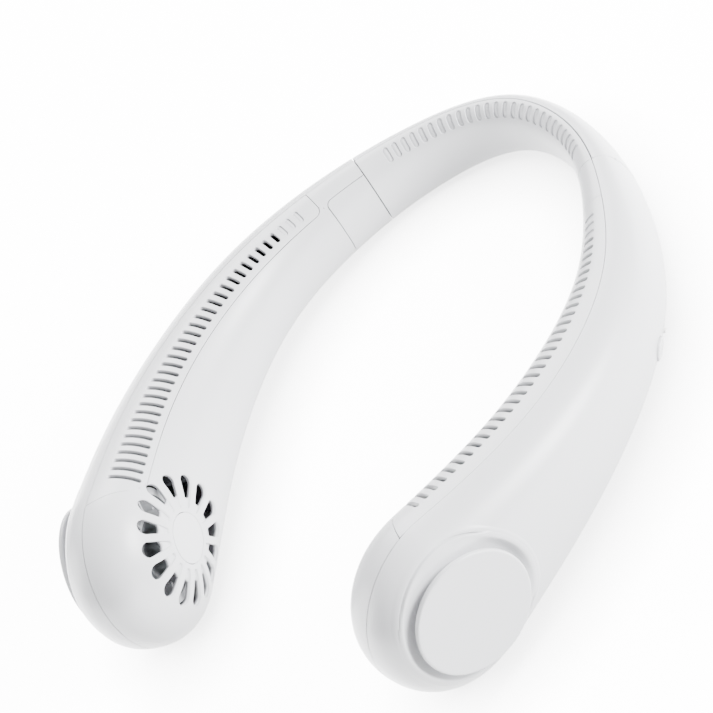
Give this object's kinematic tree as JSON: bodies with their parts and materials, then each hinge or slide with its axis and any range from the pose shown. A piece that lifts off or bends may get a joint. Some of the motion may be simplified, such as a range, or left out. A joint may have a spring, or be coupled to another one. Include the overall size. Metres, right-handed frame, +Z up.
{
  "type": "electric neck fan",
  "caption": "Bladeless-style electric neck fan: a narrow neck band with two hinged arms that swell to round ends, slotted air outlets along the arms and a petal grille at each fan.",
  "frame": {"origin": "centre of the bounding box in plan, on the table that the fan lies on", "axes": "+Y towards the neck band, the way an arm points back from its fan; +Z up, with the air slots on top; +X towards the arm with the power button"},
  "size_m": [0.1936, 0.2303, 0.0614],
  "materials": {
    "shell": "fine satin, white",
    "trim": "smooth, white",
    "inner_plastic": "plain moulded, off-white",
    "dark_plastic": "plain moulded, black",
    "fan_plastic": "plain moulded, grey",
    "rubber_black": "matte",
    "steel": "plated",
    "magnet": "matte",
    "brass": "sintered",
    "copper": "enamelled wire",
    "cell_wrap": "shrink film",
    "board": "solder mask",
    "lens": "clear, frosted"
  },
  "bodies": {
    "neck": {"neck_outer_shell": "shell", "neck_inner_shell": "shell", "neck_cable": "rubber_black", "right_neck_leaf": "steel", "left_neck_leaf": "steel", "right_hinge_pin": "steel", "left_hinge_pin": "steel", "right_hinge_washers": "dark_plastic", "left_hinge_washers": "dark_plastic"},
    "right_arm": {"right_outer_shell": "shell", "right_inner_shell": "shell", "right_vent_strip": "shell", "right_hinge_cover": "shell", "right_intake_bezel": "shell", "right_intake_cover": "shell", "right_hub_cap": "trim", "right_bearing_bush": "brass", "right_stator_core": "steel", "right_stator_coils": "copper", "right_motor_base": "dark_plastic", "right_motor_screws": "steel", "right_scroll_wall": "inner_plastic", "right_duct_wall": "inner_plastic", "right_battery_cell": "cell_wrap", "right_battery_saddles": "inner_plastic", "right_arm_leaf": "steel", "push_switch": "dark_plastic", "light_pipe": "lens", "control_board": "board", "usb_socket": "steel", "charge_board": "board"},
    "left_arm": {"left_outer_shell": "shell", "left_inner_shell": "shell", "left_vent_strip": "shell", "left_hinge_cover": "shell", "left_intake_bezel": "shell", "left_intake_cover": "shell", "left_hub_cap": "trim", "left_bearing_bush": "brass", "left_stator_core": "steel", "left_stator_coils": "copper", "left_motor_base": "dark_plastic", "left_motor_screws": "steel", "left_scroll_wall": "inner_plastic", "left_duct_wall": "inner_plastic", "left_battery_cell": "cell_wrap", "left_battery_saddles": "inner_plastic", "left_arm_leaf": "steel"},
    "right_rotor": {"right_impeller": "fan_plastic", "right_rotor_cup": "steel", "right_magnet_ring": "magnet", "right_motor_shaft": "steel"},
    "left_rotor": {"left_impeller": "fan_plastic", "left_rotor_cup": "steel", "left_magnet_ring": "magnet", "left_motor_shaft": "steel"},
    "button": {"power_button": "trim"}
  },
  "joints": [
    {"name": "right_hinge", "type": "hinge", "parent": "neck", "child": "right_arm", "pos_m": [0.05544, 0.08242, 0.0154], "axis": [-0.0635, 0.0671, 0.9957], "range_deg": [0, 12]},
    {"name": "left_hinge", "type": "hinge", "parent": "neck", "child": "left_arm", "pos_m": [-0.05544, 0.08242, 0.0154], "axis": [-0.0635, -0.0671, -0.9957], "range_deg": [0, 12]},
    {"name": "right_fan_spin", "type": "hinge", "parent": "right_arm", "child": "right_rotor", "pos_m": [0.06317, -0.08408, 0.03245], "axis": [0.9095, -0.411, 0.0626], "continuous": true},
    {"name": "left_fan_spin", "type": "hinge", "parent": "left_arm", "child": "left_rotor", "pos_m": [-0.06317, -0.08408, 0.03245], "axis": [-0.9095, -0.411, 0.0626], "continuous": true},
    {"name": "power_button_press", "type": "slide", "parent": "right_arm", "child": "button", "axis": [-0.9184, -0.0795, 0.3876], "range_m": [0, 0.0005], "stiffness_N_per_m": 800, "springref_m": -0.0005}
  ]
}
